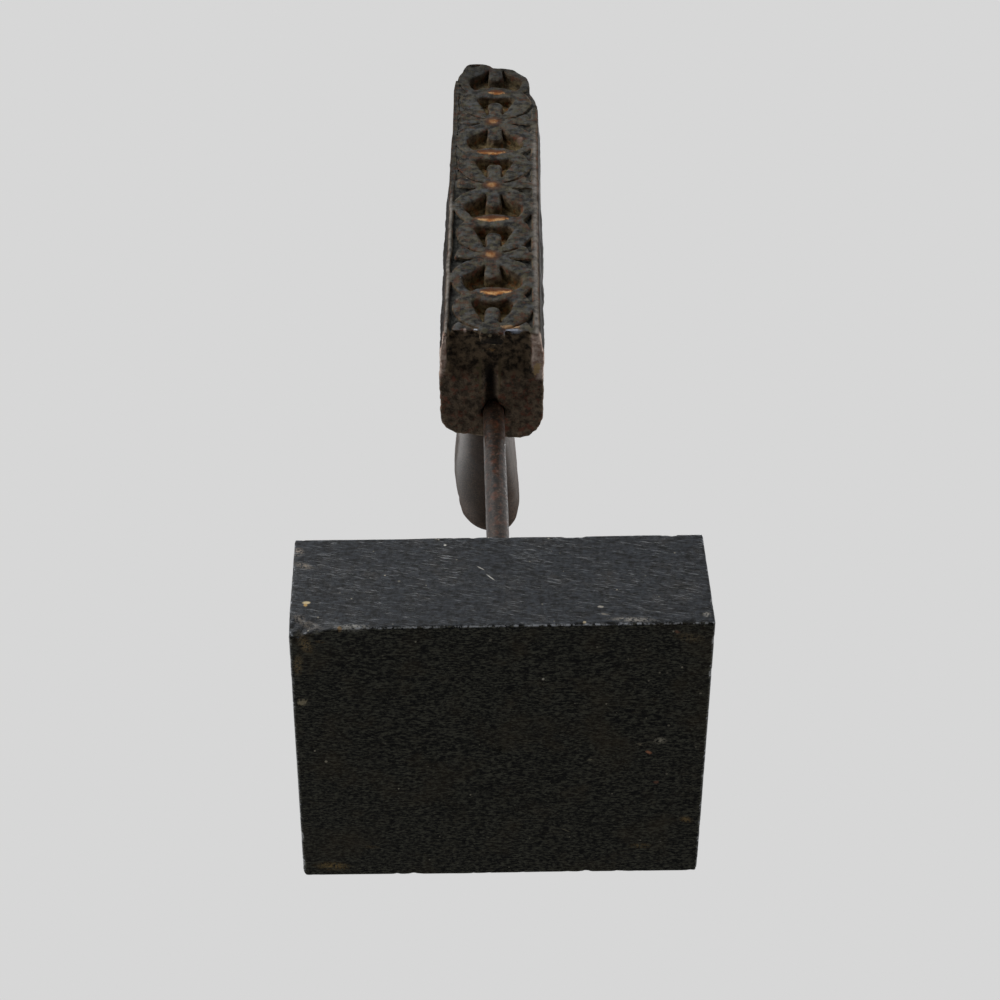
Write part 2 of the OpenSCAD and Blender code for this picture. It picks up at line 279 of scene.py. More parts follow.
# How far a point stands proud is kept in millimetres, for the chips and for the finishes
ARRIS_PASSES = 5
in_mm = add_node(tree, MATH, {0: stands_proud(ARRIS_PASSES), 1: 1 / MM}, operation="MULTIPLY")
step = add_node(tree, "GeometryNodeStoreNamedAttribute", {
    "Geometry": step, "Name": "arris", "Value": in_mm}, data_type="FLOAT", domain="POINT")
print("arrises are found in", ARRIS_PASSES, "passes")

# %% The hand-worked tree: chips and tool marks
# Chips are knocked out of an arris where a noise says so
arris = add_node(tree, "GeometryNodeInputNamedAttribute", {"Name": "arris"}, data_type="FLOAT")
on_arris = add_node(tree, RAMP, {"Value": arris, "From Min": 0.06, "From Max": 0.3})
chip_scale = add_node(tree, MATH, {0: 1.0, 1: given["Chip size"]}, operation="DIVIDE")
chip_noise = add_node(tree, NOISE, {
    "Vector": place, "W": given["Seed"], "Scale": chip_scale, "Detail": 2.0}, noise_dimensions="4D")
chipped = add_node(tree, RAMP, {
    "Value": chip_noise, "From Min": 0.54, "From Max": 0.72}, interpolation_type="SMOOTHSTEP")
chips = add_node(tree, MATH, {0: chipped, 1: on_arris}, operation="MULTIPLY")
chip_depth = add_node(tree, MATH, {0: chips, 1: given["Chips"]}, operation="MULTIPLY")

# Shallow tool marks, in and out along the surface's own direction
stretched = add_node(tree, VECTOR_MATH, {0: place, 1: given["Tool mark size"]}, operation="DIVIDE")
marks = add_node(tree, NOISE, {
    "Vector": stretched, "W": given["Seed"], "Scale": 1.0, "Detail": 3.0}, noise_dimensions="4D")
cut = add_node(tree, MATH, {0: marks, 1: 0.5}, operation="SUBTRACT")
deep = add_node(tree, MATH, {0: cut, 1: given["Tool marks"]}, operation="MULTIPLY")
both = add_node(tree, MATH, {0: deep, 1: chip_depth}, operation="SUBTRACT")
carved = add_node(tree, VECTOR_MATH, {0: normal, "Scale": both}, operation="SCALE")
step = add_node(tree, "GeometryNodeSetPosition", {"Geometry": step, "Offset": carved})
step = add_node(tree, "GeometryNodeSetShadeSmooth", {"Geometry": step})
step = add_node(tree, "GeometryNodeRealizeInstances", {"Geometry": step})
step = add_node(tree, "GeometryNodeSetMaterial", {"Geometry": step, "Material": given["Material"]})
add_node(tree, "NodeGroupOutput", {"Geometry": step})
print("hand_worked has", len(hand_worked.nodes), "nodes")

# %% Helpers that take a solid through the tree
WELD = 0.002 * MM


def points_of(mesh):
    """The mesh's points as rows of x, y, z."""
    flat = np.empty(3 * len(mesh.vertices), np.float32)
    mesh.vertices.foreach_get("co", flat)
    return flat.reshape(-1, 3).astype(float)


def move_points(mesh, points):
    """Puts the mesh's points at new places."""
    mesh.vertices.foreach_set("co", points.astype(np.float32).ravel())
    mesh.update()


def store(mesh, name, values):
    """Keeps one number for each point, for a material to read."""
    attribute = mesh.attributes.new(name, "FLOAT", "POINT")
    attribute.data.foreach_set("value", values.astype(np.float32))


def smooth_step(low, high, value):
    """0 below low, 1 above high and a soft slope between."""
    share = np.clip((value - low) / (high - low), 0, 1)
    return share * share * (3 - 2 * share)


def worked_copy(node, name, voxel, sizes, keep=1.0, place=Matrix.Identity(4)):
    """A copy of a CAD node, remeshed and hand-worked in its own frame, as a plain mesh."""
    solid = bmesh.new()
    solid.from_mesh(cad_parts[node].data)
    bmesh.ops.remove_doubles(solid, verts=solid.verts, dist=WELD)
    bmesh.ops.transform(solid, matrix=place.inverted(), verts=solid.verts)
    mesh = bpy.data.meshes.new(name)
    solid.to_mesh(mesh)
    solid.free()
    piece = bpy.data.objects.new(name, mesh)
    bpy.context.scene.collection.objects.link(piece)

    remesh = piece.modifiers.new("even_mesh", "REMESH")
    remesh.mode = "VOXEL"
    remesh.voxel_size = voxel * MM
    worked = piece.modifiers.new("hand_worked", "NODES")
    worked.node_group = hand_worked
    for label, value in sizes.items():
        worked[worked_inputs[label]] = value
    if keep < 1:
        thinned = piece.modifiers.new("fewer_faces", "DECIMATE")
        thinned.ratio = keep

    graph = bpy.context.evaluated_depsgraph_get()
    baked = bpy.data.meshes.new_from_object(
        piece.evaluated_get(graph), preserve_all_data_layers=True, depsgraph=graph)
    piece.modifiers.clear()
    piece.data = baked
    bpy.data.meshes.remove(mesh)
    baked.name = name
    print(name, "has", len(baked.polygons), "faces")
    return piece


def settle(piece, place=Matrix.Identity(4)):
    """Sets a piece at its place in the frame and trims it to the solids' box."""
    piece.data.transform(place)
    move_points(piece.data, np.clip(points_of(piece.data), cad_low, cad_high))


def give_finish(piece, node, body):
    """The piece stands for its CAD node and moves with its body."""
    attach(piece, body)
    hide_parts(node)
    print(piece.name, "stands for", node, "and moves with", body)


# %% [markdown]
# ## The plinth
# The plinth is a sawn lump of wood, stained black. Fine fibres and saw lines run across it, its planed
# sides carry a cold sheen and many short scratches, its arrises are chipped, and a flake has broken off
# the lower front corner. The small marks that the eye finds first are kept in a list: each is an
# ellipsoid with its place, turn, half sizes, raggedness and colour. A noise breaks up its outline, and
# breaks a ragged mark into flecks.

# %% Patterns and marks on a surface
FLECKED = 0.9


def stretched_noises(tree, rows):
    """Noises by name; a row has coordinates, lean in degrees, sizes in mm, detail, roughness, distortion."""
    noises = {}
    for name, where, lean, sizes, detail, roughness, distortion in rows:
        space = add_node(tree, MAPPING, {
            "Vector": where, "Rotation": (0, math.radians(lean), 0),
            "Scale": tuple(size * MM for size in sizes)}, vector_type="TEXTURE")
        noises[name] = add_node(tree, NOISE, {
            "Vector": space, "Scale": 1.0, "Detail": detail, "Roughness": roughness,
            "Distortion": distortion})
    return noises


def lay_coats(tree, shows, rows):
    """Coats by name: a row has a first coat, then what shows over it and how far, by the name in shows."""
    coats = {}
    for name, first, *layers in rows:
        colour = coats.get(first, first)
        for factor, over in layers:
            colour = add_node(tree, MIX, {
                "Factor": shows[factor], UNDER: colour, OVER: coats.get(over, over)}, **COLOURS)
        coats[name] = colour
    return coats


def paint_marks(tree, colour, place, marks):
    """Mixes a list of marks over a colour; each is an ellipsoid that a noise breaks up."""
    grain = add_node(tree, NOISE, {
        "Vector": place, "Scale": per_mm(0.9), "Detail": 3.0, "Roughness": 0.7})
    torn = add_node(tree, RAMP, {
        "Value": grain, "From Min": 0.3, "From Max": 0.7, "To Min": -0.5, "To Max": 0.5})
    flecks = add_node(tree, RAMP, {"Value": grain, "From Min": 0.44, "From Max": 0.6})
    for middle, (turn_y, turn_z), half_sizes, raggedness, paint in marks:
        space = add_node(tree, MAPPING, {
            "Vector": place, "Location": Vector(middle) * MM,
            "Rotation": (0, math.radians(turn_y), math.radians(turn_z)),
            "Scale": Vector(half_sizes) * MM}, vector_type="TEXTURE")
        from_middle = add_node(tree, VECTOR_MATH, {0: space}, out="Value", operation="LENGTH")
        edge = add_node(tree, MATH, {0: torn, 1: raggedness, 2: from_middle}, operation="MULTIPLY_ADD")
        shows = add_node(tree, RAMP, {"Value": edge, "From Min": 1.0, "From Max": 0.6, "To Max": 0.9})
        if raggedness > FLECKED:
            shows = add_node(tree, MATH, {0: shows, 1: flecks}, operation="MULTIPLY")
        colour = add_node(tree, MIX, {"Factor": shows, UNDER: colour, OVER: paint}, **COLOURS)
    return colour


# Place in mm, turn about Y and Z in degrees, half sizes in mm, raggedness, colour
plinth_marks = [
    ((-58.6, -51.5, 12.2), (0, 0), (1.4, 2, 0.8), 0.2, "#F2DDAE"),
    ((-58.8, -51.5, 11.1), (0, 0), (0.7, 2, 0.8), 0.2, "#D9B26C"),
    ((-6.0, -51.5, 28.0), (40, 0), (1.7, 2, 0.22), 0.3, "#D9D6CC"),
    ((-3.2, -51.5, 23.6), (50, 0), (2.1, 2, 0.24), 0.3, "#E4E2DA"),
    ((-16.9, -51.5, 39.6), (0, 0), (0.5, 2, 0.5), 0.2, "#F0EEE6"),
    ((-62.2, -51.0, 36.8), (0, 0), (2.4, 3, 2.8), 1.0, "#B0A498"),
    ((-60.1, -51.0, 29.9), (25, 0), (4.0, 3, 1.8), 1.2, "#A89C8C"),
    ((-60.6, -50.0, 5.5), (30, 0), (2.6, 4, 1.8), 1.2, "#A89E92"),
    ((-57.0, -49.5, 3.0), (25, 0), (5.0, 4, 1.6), 1.3, "#988F84"),
    ((-44.6, -51.0, 0.9), (0, 0), (7.0, 2, 1.3), 1.1, "#C6C4BC"),
    ((-48.3, -51.5, 0.5), (0, 0), (0.9, 2, 0.7), 0.4, "#B59468"),
    ((29.6, -51.5, 9.0), (10, 0), (1.2, 2, 0.5), 0.8, "#C2BCB0"),
    ((30.7, -51.5, 5.5), (12, 0), (1.3, 2, 0.5), 0.9, "#8C877E"),
    ((38.6, -51.5, 2.9), (3, 0), (9.0, 2, 1.5), 1.2, "#B4AFA6"),
    ((61.1, -51.5, 4.8), (0, 0), (1.6, 2, 1.6), 1.1, "#CCC7BC"),
    ((24.4, -51.5, 1.9), (0, 0), (0.6, 2, 0.5), 0.3, "#D2C2A0"),
    ((-58.7, -45.3, 0), (0, 70), (4.6, 2.6, 3), 1.3, "#B29A70"),
    ((-61.2, -37.4, 0), (0, 95), (5.6, 2.0, 3), 1.3, "#AA946C"),
    ((-54.2, -46.4, 0), (0, 10), (2.0, 0.8, 3), 1.3, "#8E7650"),
    ((-60.6, -22.4, 0), (0, 0), (1.8, 1.3, 2), 0.9, "#C4B898"),
    ((-53.9, 48.0, 0), (0, 4), (7.0, 2.4, 3), 1.3, "#B89A60"),
    ((-41.4, 39.6, 0), (0, 4), (3.5, 1.0, 3), 1.7, "#7A6848"),
    ((56.0, -45.7, 0), (0, 10), (6.5, 2.6, 3), 1.4, "#9C8A68"),
    ((52.1, -47.9, 0), (0, 20), (1.0, 0.7, 3), 0.8, "#98705A"),
    ((45.7, 0.3, 0), (0, 35), (1.3, 0.7, 2), 0.4, "#E09A74"),
    ((48.9, -4.5, 0), (0, 0), (3.0, 2.0, 2), 1.2, "#E0D8C2"),
    ((43.1, -3.1, 0), (0, 0), (2.6, 0.8, 2), 1.0, "#C0B69A"),
    ((48.5, 12.9, 0), (0, 0), (0.9, 0.7, 2), 0.8, "#8C6450"),
    ((27.6, 2.9, 0), (0, 0), (1.5, 0.9, 2), 1.0, "#B0AA90"),
    ((44.6, 40.6, 0), (0, 0), (4.5, 1.6, 3), 1.4, "#9C865A"),
    ((58.8, 29.2, 0), (0, 20), (3.0, 1.8, 3), 1.3, "#AA8E5E"),
    ((12.4, -30.3, 0), (0, 0), (0.5, 0.6, 2), 0.2, "#FFF8E6"),
    ((20.5, 33.2, 0), (0, 30), (2.2, 0.25, 2), 0.4, "#8E8874"),
]
print(len(plinth_marks), "marks on the plinth")


# %% Black-stained plinth: patterns
FRONT_LIFT = 1.3 * MM
plinth_low, plinth_high = (np.array(corner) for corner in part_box("plinth"))
plinth_width = plinth_high[0] - plinth_low[0]


def stained_patterns(tree, place):
    """How far each coat of the stained wood shows, by name."""
    axes = add_node(tree, AXES, {"Vector": place}).node.outputs
    normal = add_node(tree, "ShaderNodeNewGeometry", out="Normal")
    facing = add_node(tree, AXES, {"Vector": normal}).node.outputs
    arris = add_node(tree, "ShaderNodeAttribute", out="Fac", attribute_name="arris")
    # On the two ends the pattern runs from front to back, so their coordinates are turned by 90 degrees
    end_face = add_node(tree, MATH, {0: facing["X"]}, operation="ABSOLUTE")
    end_face = add_node(tree, MATH, {0: end_face, 1: 0.7}, operation="GREATER_THAN")
    turned = add_node(tree, MAPPING, {"Vector": place, "Rotation": (0, 0, math.radians(90))})
    place_along = add_node(tree, MIX, {"Factor": end_face, 4: place, 5: turned}, out=1, data_type="VECTOR")

    # Scratches some 4 mm long lean across the fibres, and are drawn a quarter of a millimetre wide to show
    noises = stretched_noises(tree, (
        ("fibre", place_along, 0, (3.5, 0.9, 0.9), 3.0, 0.6, 0),
        ("scratch", place_along, 14, (4.5, 2, 0.22), 3.0, 0.65, 0.5),
        ("fine", place, 0, (1.6, 0.5, 0.5), 5.0, 0.75, 0),
        ("blotch", place, 0, (11, 11, 11), 6.0, 0.7, 0),
        ("grit", place, 0, (1.4, 1.4, 1.4), 3.0, 0.65, 0),
        ("haze", place, 0, (22, 22, 22), 4.0, 0.6, 0)))
    # The arris under the front climbs to the right, so heights are taken from it
    over_arris = add_node(tree, MATH, {
        0: axes["X"], 1: -FRONT_LIFT / plinth_width, 2: axes["Z"]}, operation="MULTIPLY_ADD")
    # How far each thing shows: what it is read from, where it starts and ends, its least and its most
    shows = {}
    for name, value, start, end, least, most in (
            ("underside", facing["Z"], -0.5, -0.8, 0, 1),
            ("fibre", noises["fibre"], 0.43, 0.59, 0, 1),
            ("grit", noises["grit"], 0.44, 0.58, 0, 1),
            ("fine", noises["fine"], 0.40, 0.62, 0, 1),
            ("haze", noises["haze"], 0.5, 0.7, 0, 0.3),
            ("scratch", noises["scratch"], 0.59, 0.69, 0, 1),
            ("rubbed", noises["blotch"], 0.38, 0.64, 0.15, 1),
            ("thin", noises["blotch"], 0.5, 0.75, 0, 0.45),
            ("worn", arris, 0.14, 0.28, 0, 1),
            ("rarely", noises["grit"], 0.58, 0.72, 0, 1),
            ("often", noises["grit"], 0.45, 0.58, 0, 1),
            # The painted highlight along the arris under the front
            ("line", over_arris, 0.48 * MM + FRONT_LIFT / 2, 0.2 * MM + FRONT_LIFT / 2, 0, 1),
            ("in_front", axes["Y"], -50.7 * MM, -51.1 * MM, 0, 1)):
        shows[name] = add_node(tree, RAMP, {
            "Value": value, "From Min": start, "From Max": end, "To Min": least, "To Max": most})
    # A pale broken line of painted highlight runs along the arris under the front; the other arrises are
    # rubbed pale only here and there
    for name, other in (
            ("scratch", "rubbed"), ("thin", "fibre"), ("worn", "rarely"), ("line", "in_front"),
            ("line", "often")):
        shows[name] = add_node(tree, MATH, {0: shows[name], 1: shows[other]}, operation="MULTIPLY")
    shows["pale"] = add_node(tree, MATH, {0: shows["worn"], 1: shows["line"]}, operation="MAXIMUM")
    mixed = add_node(tree, MIX, {"Factor": 0.5, NUMBER_A: shows["fibre"], NUMBER_B: shows["grit"]})
    dull = add_node(tree, MIX, {"Factor": 0.7, NUMBER_A: mixed, NUMBER_B: shows["fine"]})
    shows["mixed"] = mixed
    shows["dull"] = add_node(tree, RAMP, {"Value": dull, "From Min": 0.34, "From Max": 0.76})
    return shows


print("the plinth is", plinth_width / MM, "mm wide")


# %% Black-stained plinth: finish
def black_stained_wood():
    """Sawn hardwood under a thin black stain: dull below, a cold sheen and fine scratches on its sides."""
    material, tree, shader = new_material("black_stained_sawn_hardwood")
    place = add_node(tree, "ShaderNodeTexCoord", out="Object")
    shows = stained_patterns(tree, place)
    # Brown wood shows faintly where the stain is thin
    coats = lay_coats(tree, shows, (
        ("below", "#000000", ("dull", "#666659"), ("haze", "#5E5038")),
        ("planed", "#040608", ("mixed", "#3B4047"), ("scratch", "#BCC0C4")),
        ("all", "planed", ("underside", "below"), ("thin", "#4E4330"), ("pale", "#DDE2EA"))))
    colour = paint_marks(tree, coats["all"], place, plinth_marks)
    # Specks of lint, large ones at most one in a 9 mm cell and fine ones in a 3 mm cell
    for cell, size, rare in ((9, 0.034, 0.4), (3.2, 0.06, 0.72)):
        cells = add_node(tree, "ShaderNodeTexVoronoi", {
            "Vector": place, "Scale": per_mm(cell)}).node.outputs
        speck = add_node(tree, RAMP, {
            "Value": cells["Distance"], "From Min": size, "From Max": 1.8 * size, "To Min": 1, "To Max": 0})
        chance = add_node(tree, AXES, {"Vector": cells["Color"]}, out="X")
        chosen = add_node(tree, RAMP, {"Value": chance, "From Min": rare, "From Max": 1.0})
        speck = add_node(tree, MATH, {0: speck, 1: chosen}, operation="MULTIPLY")
        colour = add_node(tree, MIX, {"Factor": speck, UNDER: colour, OVER: "#D2CAB4"}, **COLOURS)
    tree.links.new(colour, shader.inputs["Base Color"])

    roughness = add_node(tree, RAMP, {"Value": shows["underside"], "To Min": 0.5, "To Max": 0.85})
    tree.links.new(roughness, shader.inputs["Roughness"])
    shader.inputs["IOR"].default_value = 1.45
    grooves = add_node(tree, MATH, {0: shows["mixed"], 1: shows["scratch"]}, operation="SUBTRACT")
    bump = add_node(tree, "ShaderNodeBump", {"Strength": 0.4, "Distance": 0.25 * MM, "Height": grooves})
    tree.links.new(bump, shader.inputs["Normal"])
    return material


plinth_wood = black_stained_wood()
print(plinth_wood.name, "has", len(plinth_wood.node_tree.nodes), "nodes")

# %% Black-stained plinth: shape
FLAKE_LENGTH = 15 * MM
FLAKE_HEIGHT = 6 * MM
FLAKE_DEPTH = 4 * MM
DIMPLE = (0.6 * MM, -2.5 * MM)


def fill_box(points, low, high, spare):
    """Stretches the points to a little over their box and trims them, so that only dents lie inside it."""
    share = (points - points.min(axis=0)) / (points.max(axis=0) - points.min(axis=0))
    return np.clip(low - spare + share * (high - low + 2 * spare), low, high)


def break_corner(points, corner):
    """Breaks a flake off the front, along its lower arris from the left corner."""
    along = np.clip(1 - (points[:, 0] - corner[0]) / FLAKE_LENGTH, 0, 1)
    up = np.clip(1 - (points[:, 2] - corner[2]) / FLAKE_HEIGHT, 0, 1)
    inwards = np.clip(1 - (points[:, 1] - corner[1]) / (2 * FLAKE_DEPTH), 0, 1)
    lumps = 1 + 0.3 * np.sin(points[:, 0] / (0.9 * MM)) * np.sin(points[:, 2] / (0.6 * MM) + 1)
    points[:, 1] += FLAKE_DEPTH * along * up * inwards * lumps


def press_dimple(points, middle, radius, depth):
    """Presses a small dimple into the underside."""
    away = np.hypot(points[:, 0] - middle[0], points[:, 1] - middle[1])
    points[:, 2] += depth * smooth_step(radius, 0, away) * (points[:, 2] < 2 * depth)


def saw_out_of_square(points, low, high, up, back, lift):
    """Lets the top rise to the right, and the underside run out at the back and lift at the front right."""
    share = (points - low) / (high - low)
    points[:, 2] += up * (0.4 + share[:, 0]) * share[:, 2]
    points[:, 1] += back * share[:, 1] * (1 - share[:, 2])
    points[:, 2] += lift * share[:, 0] * (1 - share[:, 1]) * (1 - share[:, 2])


def round_edge(points, edge, radius):
    """Rounds an upright edge at the back, at the given x and y."""
    side = np.sign(edge[0])
    away = points[:, :2] - (edge[0] - side * radius, edge[1] - radius)
    far = np.hypot(away[:, 0], away[:, 1])
    outside = (side * away[:, 0] > 0) & (away[:, 1] > 0) & (far > radius)
    points[outside, :2] -= away[outside] * (1 - radius / far[outside])[:, None]


plinth = worked_copy("plinth", "black_plinth", 0.65, {
    "Rounding passes": 0, "Wander": 0.5 * MM, "Wander size": 40 * MM, "Tool marks": 0.2 * MM,
    "Tool mark size": (9 * MM, 1.5 * MM, 1.5 * MM), "Chips": 1.0 * MM, "Chip size": 5 * MM,
    "Seed": 3.0, "Material": plinth_wood}, keep=0.6)
plinth_points = fill_box(points_of(plinth.data), plinth_low, plinth_high, spare=0.15 * MM)
round_edge(plinth_points, (plinth_low[0], plinth_high[1]), radius=2.6 * MM)
round_edge(plinth_points, (plinth_high[0], plinth_high[1]), radius=1.6 * MM)
saw_out_of_square(plinth_points, plinth_low, plinth_high, up=1.2 * MM, back=1.0 * MM, lift=FRONT_LIFT)
break_corner(plinth_points, plinth_low)
press_dimple(plinth_points, DIMPLE, radius=2.2 * MM, depth=0.7 * MM)
move_points(plinth.data, plinth_points)
settle(plinth)
give_finish(plinth, "plinth", "stand")

# %% [markdown]
# ## The rod
# A length of plain round iron bar, brown with old rust. Rust is no longer a metal to the eye: it is a
# rough brown crust, pitted and mottled, which shines only where light grazes its edges.

# %% Rusted rod
def rusted_iron():
    """Iron bar under a thin crust of old rust: mottled brown, rough, dark in the pits."""
    material, tree, shader = new_material("rusted_iron_bar")
    place = add_node(tree, "ShaderNodeTexCoord", out="Object")
    mottle = add_node(tree, NOISE, {
        "Vector": place, "Scale": per_mm(2.6), "Detail": 4.0, "Roughness": 0.65}, out="Color")
    parts = add_node(tree, AXES, {"Vector": mottle}).node.outputs
    grit = add_node(tree, NOISE, {
        "Vector": place, "Scale": per_mm(0.9), "Detail": 2.0, "Roughness": 0.6})
    # Each coat: what it is read from, where it starts and ends, its most and its colour
    colour = "#100A06"
    for value, start, end, most, over in (
            (parts["X"], 0.38, 0.62, 1, "#3C2A1D"),
            (parts["Y"], 0.52, 0.66, 0.6, "#70402A"),
            (grit, 0.56, 0.7, 0.7, "#6A5A4E")):
        shows = add_node(tree, RAMP, {"Value": value, "From Min": start, "From Max": end, "To Max": most})
        colour = add_node(tree, MIX, {"Factor": shows, UNDER: colour, OVER: over}, **COLOURS)
    tree.links.new(colour, shader.inputs["Base Color"])
    roughness = add_node(tree, RAMP, {
        "Value": parts["X"], "From Min": 0.38, "From Max": 0.62, "To Min": 0.5, "To Max": 0.36})
    tree.links.new(roughness, shader.inputs["Roughness"])
    # Old wax, which shows as thin lines of light along the sides
    shader.inputs["Coat Weight"].default_value = 0.45
    shader.inputs["Coat Roughness"].default_value = 0.08
    bump = add_node(tree, "ShaderNodeBump", {"Strength": 0.4, "Distance": 0.2 * MM, "Height": grit})
    tree.links.new(bump, shader.inputs["Normal"])
    return material


rod = worked_copy("mount_rod", "rusted_rod", 0.55, {
    "Rounding passes": 2, "Wander": 0.3 * MM, "Wander size": 30 * MM, "Tool marks": 0.35 * MM,
    "Tool mark size": (2.2 * MM, 2.2 * MM, 3.5 * MM), "Chips": 0.0, "Chip size": 1.0, "Seed": 7.0,
    "Material": rusted_iron()})
settle(rod)
give_finish(rod, "mount_rod", "rod")

# %% [markdown]
# ## The carved block
# The printing face is a border of crossing rings, cut some 8 mm deep. On the real one each wall slopes a
# little, because the carver's chisel leans, so the walls of the copy are spread towards the ground. The
# tops of the arcs and hubs along the middle have rubbed through the dye to orange wood, and these
# places follow the rule of the border, so they are worked out from its pitch. The work is done in the
# block's own frame, in millimetres, because the block leans a little on its rod.

# %% Carved block: measures
block_lean = math.radians(1.6)
block_place = Matrix.Translation((0.5 * MM, 0, 185 * MM)) @ Matrix.Rotation(block_lean, 4, "Y")
FACE = -35.7
BACK = 10.5
SIDE = 19.25
CARVE_DEPTH = 8.0
MOTIF_PITCH = 54.0
MOTIFS = 4
ROD_X = 1.2
BORE_R = 4.3
BORE_TOP = 246.0
# Where the gaps along the block start to be fuller and are full, and how deep the filling runs out
FULLER = (95, 125)
RUN_OUT = 1.75 * CARVE_DEPTH
# The left rail is rubbed flush between these places across and along the block
FLUSH_ACROSS = (-9, -13)
FLUSH_ALONG = (88, 118)
# How deep the sloped edges reach, and where each starts and is full across the block
EDGE_DEPTH = 10
LEFT_EDGE = (-15.9, -18.6)
RIGHT_EDGE = (15.4, 18.6)
# The top end is worn in full down to one depth, and not at all below the other
WORN_FULL = 12.0
WORN_DEEP = 34.0
SOFTNESS = 0.4
# Where the back's wear starts, and where along the block its lower end swells
BACK_FROM = -14
SWELL_ALONG = (60, 10)

# Each ring of a motif: its middle along the border from the hub, and its radius
rings = [(17.5, 14.5), (-15.9, 15.6)]
# Each opening: its middle and radius, then its wanted half width at places along the border from the hub
openings = [
    (15.7, 9.5, (6.7, 9, 15, 21), (3.1, 4.0, 6.2, 8.2)),
    (-17.0, 11.5, (-15, -10, -5.9), (11.2, 6.3, 3.1))]
TONGUE_EDGE = 3.1
# The worn outline of the top end: half widths at places along the two sides, then its height across
worn_sides = {
    -1: ((104, 116, 124, 142, 150, 179, 190, 196.7, 200.4, 204, 207.6, 210.5, 214, 218),
         (21, 19.3, 18.5, 18.3, 17.6, 17.8, 18.0, 17.5, 17.1, 15.8, 14.5, 14.1, 13.4, 12.6)),
    1: ((88, 100, 112, 126, 140, 166, 175.8, 184, 188.5, 197.6, 203, 207.6, 214),
        (21, 19.2, 18.5, 18.6, 19.1, 19.3, 18.1, 17, 15, 14.5, 13.4, 10.6, 6.5))}
worn_top = (
    (-14.6, -13.6, -12.6, -11.5, -9.8, -8.5, -4.8, -2.5, -1.5, 3.4, 7, 10.6, 16),
    (207, 211.5, 213.8, 215, 215.6, 216, 215.4, 213.5, 211.7, 211.7, 210.4, 207.6, 203))
print(MOTIFS, "motifs along", MOTIFS * MOTIF_PITCH, "mm of border")


# %% Carved block: walls and openings
def spread_walls(points, directions, slope):
    """Leans the carved walls, so that each is wider at the ground than at the printing face."""
    depth = points[:, 1] - FACE
    inside = (np.abs(points[:, 0]) < SIDE - 1.0) & (depth > 0) & (depth < CARVE_DEPTH + 0.5)
    wall = inside * smooth_step(0.35, 0.75, np.hypot(directions[:, 0], directions[:, 2]))
    points += (wall * slope * depth)[:, None] * directions * (1, 0, 1)


def taper_openings(points):
    """Makes the round openings narrow towards the hub, by moving their rims sideways."""
    near_face = smooth_step(CARVE_DEPTH + 4, CARVE_DEPTH + 1, points[:, 1] - FACE)
    for hub in range(MOTIFS + 1):
        along = points[:, 2] - hub * MOTIF_PITCH
        for (middle, radius, places, widths), (ring_middle, ring_radius) in zip(openings, rings):
            across = np.abs(points[:, 0])
            rim = np.sqrt(np.clip(radius ** 2 - (along - middle) ** 2, 0, None))
            outer = np.sqrt(np.clip(ring_radius ** 2 - (along - ring_middle) ** 2, 0, None))
            here = (rim > TONGUE_EDGE + 0.1) & (outer > rim + 0.1)
            here &= (along > places[0]) & (along < places[-1])
            wanted = np.interp(along, places, widths)
            narrowed = (wanted - TONGUE_EDGE) / np.where(here, rim - TONGUE_EDGE, 1)
            floor = TONGUE_EDGE + (across - TONGUE_EDGE) * narrowed
            band = wanted + (across - rim) * (outer - wanted) / np.where(here, outer - rim, 1)
            moved = np.where(across < rim, floor, band)
            here &= (across > TONGUE_EDGE) & (across < outer)
            shift = np.where(here, moved - across, 0) * near_face
            points[:, 0] += np.sign(points[:, 0]) * shift


def in_openings(points):
    """1 inside the rings, 0 between rings, petals and rails."""
    inside = np.zeros(len(points))
    for hub in range(MOTIFS + 1):
        along = points[:, 2] - hub * MOTIF_PITCH
        for middle, radius in rings:
            away = np.hypot(points[:, 0], along - middle)
            clear_of_hub = smooth_step(5.5, 8.5, np.abs(along))
            inside = np.maximum(inside, smooth_step(radius - 0.5, radius - 2.5, away) * clear_of_hub)
    return inside


print("in the middle of a ring:", in_openings(np.array([[0, FACE, rings[0][0]]])))


# %% Carved block: old dye and wear
def rubbed_flush(points):
    """1 along the left rail's upper half, which is rubbed down until no gap shows beside it."""
    return smooth_step(*FLUSH_ACROSS, points[:, 0]) * smooth_step(*FLUSH_ALONG, points[:, 2])


def clog_gaps(points, low_end, high_end):
    """Old dye and lint fill the carving. Each pair is the share of its depth left in rings and in gaps."""
    depth = points[:, 1] - FACE
    higher = smooth_step(*FULLER, points[:, 2])
    in_rings, in_gaps = (low + (high - low) * higher for low, high in zip(low_end, high_end))
    in_gaps = in_gaps * (1 - rubbed_flush(points))
    left = in_gaps + (in_rings - in_gaps) * in_openings(points)
    left = 1 - (1 - left) * smooth_step(SIDE - 0.8, SIDE - 1.4, np.abs(points[:, 0]))
    # The change runs out behind the ground, so that the ends and sides stay whole
    behind = np.clip((RUN_OUT - depth) / (RUN_OUT - CARVE_DEPTH), 0, 1)
    points[:, 1] -= (1 - left) * np.where(depth < CARVE_DEPTH, depth, CARVE_DEPTH * behind)


def slope_edges(points, left, right):
    """Slopes the two long edges of the printing face."""
    near_face = np.clip(1 - (points[:, 1] - FACE) / EDGE_DEPTH, 0, 1)
    points[:, 0] += left * near_face * smooth_step(*LEFT_EDGE, points[:, 0])
    points[:, 0] -= right * near_face * smooth_step(*RIGHT_EDGE, points[:, 0])


def wear_top(points):
    """Wears the top end down to its outline, softly."""
    near_face = smooth_step(WORN_DEEP, WORN_FULL, points[:, 1] - FACE)
    for side, (places, widths) in worn_sides.items():
        over = side * points[:, 0] - np.interp(points[:, 2], places, widths)
        points[:, 0] -= side * near_face * SOFTNESS * np.logaddexp(0, over / SOFTNESS)
    over = points[:, 2] - np.interp(points[:, 0], *worn_top)
    points[:, 2] -= near_face * SOFTNESS * np.logaddexp(0, over / SOFTNESS)


